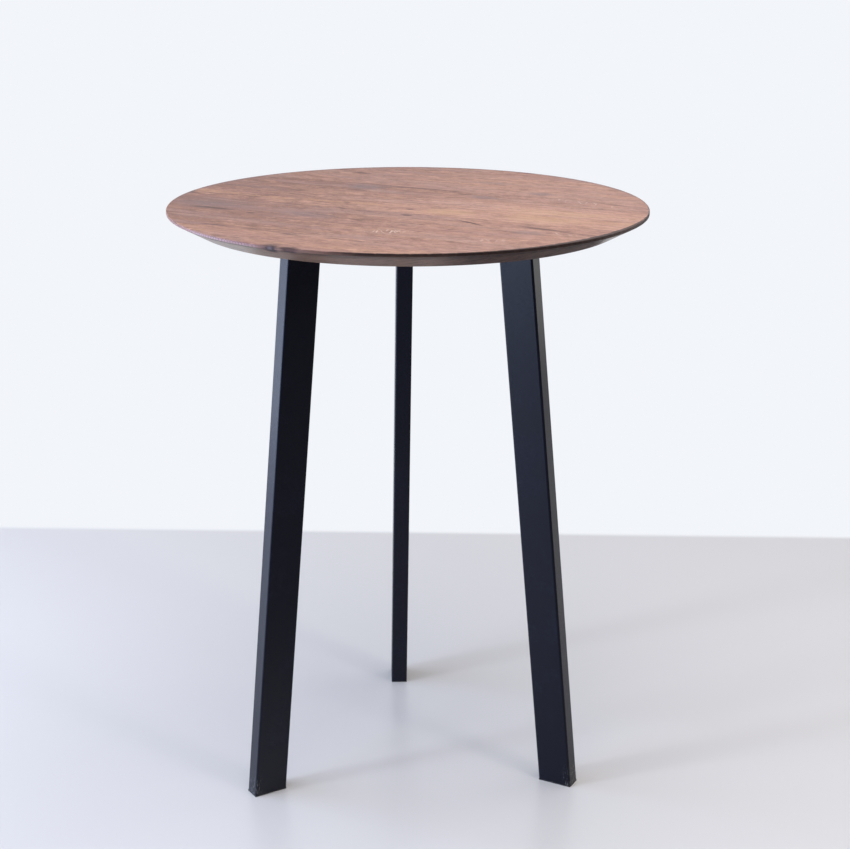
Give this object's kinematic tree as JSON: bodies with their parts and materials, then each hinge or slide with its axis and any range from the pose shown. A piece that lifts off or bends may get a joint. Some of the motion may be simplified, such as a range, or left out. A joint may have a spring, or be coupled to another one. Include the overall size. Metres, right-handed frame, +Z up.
{
  "type": "bar table",
  "caption": "Bar-height round table: plank top with an undercut rim on splayed legs of rectangular steel tube, each with a screwed mounting plate and a plastic foot cap.",
  "frame": {"origin": "on the floor, under the middle of the round top", "axes": "+Z up. The rear leg's head stands on +Y of the middle, the other two legs' heads at 120 degrees to each side of it. +X is to the right as seen from -Y."},
  "size_m": [0.8, 0.8, 1],
  "materials": {
    "oak": "smoked reclaimed oak, matt lacquer",
    "black_powder_coat": "satin black powder coat",
    "black_plastic": "moulded, matt",
    "zinc_plated_steel": "bright zinc plate"
  },
  "bodies": {
    "root": {"top_plank_1": "oak", "top_plank_2": "oak", "top_plank_3": "oak", "top_plank_4": "oak", "top_plank_5": "oak", "top_plank_6": "oak", "top_plank_7": "oak", "top_plank_8": "oak", "leg_tube_rear": "black_powder_coat", "leg_tube_front_left": "black_powder_coat", "leg_tube_front_right": "black_powder_coat", "leg_plate_rear": "black_powder_coat", "leg_plate_front_left": "black_powder_coat", "leg_plate_front_right": "black_powder_coat", "leg_weld_rear": "black_powder_coat", "leg_weld_front_left": "black_powder_coat", "leg_weld_front_right": "black_powder_coat", "foot_cap_rear": "black_plastic", "foot_cap_front_left": "black_plastic", "foot_cap_front_right": "black_plastic", "leg_screws_rear": "zinc_plated_steel", "leg_screws_front_left": "zinc_plated_steel", "leg_screws_front_right": "zinc_plated_steel"}
  },
  "joints": []
}
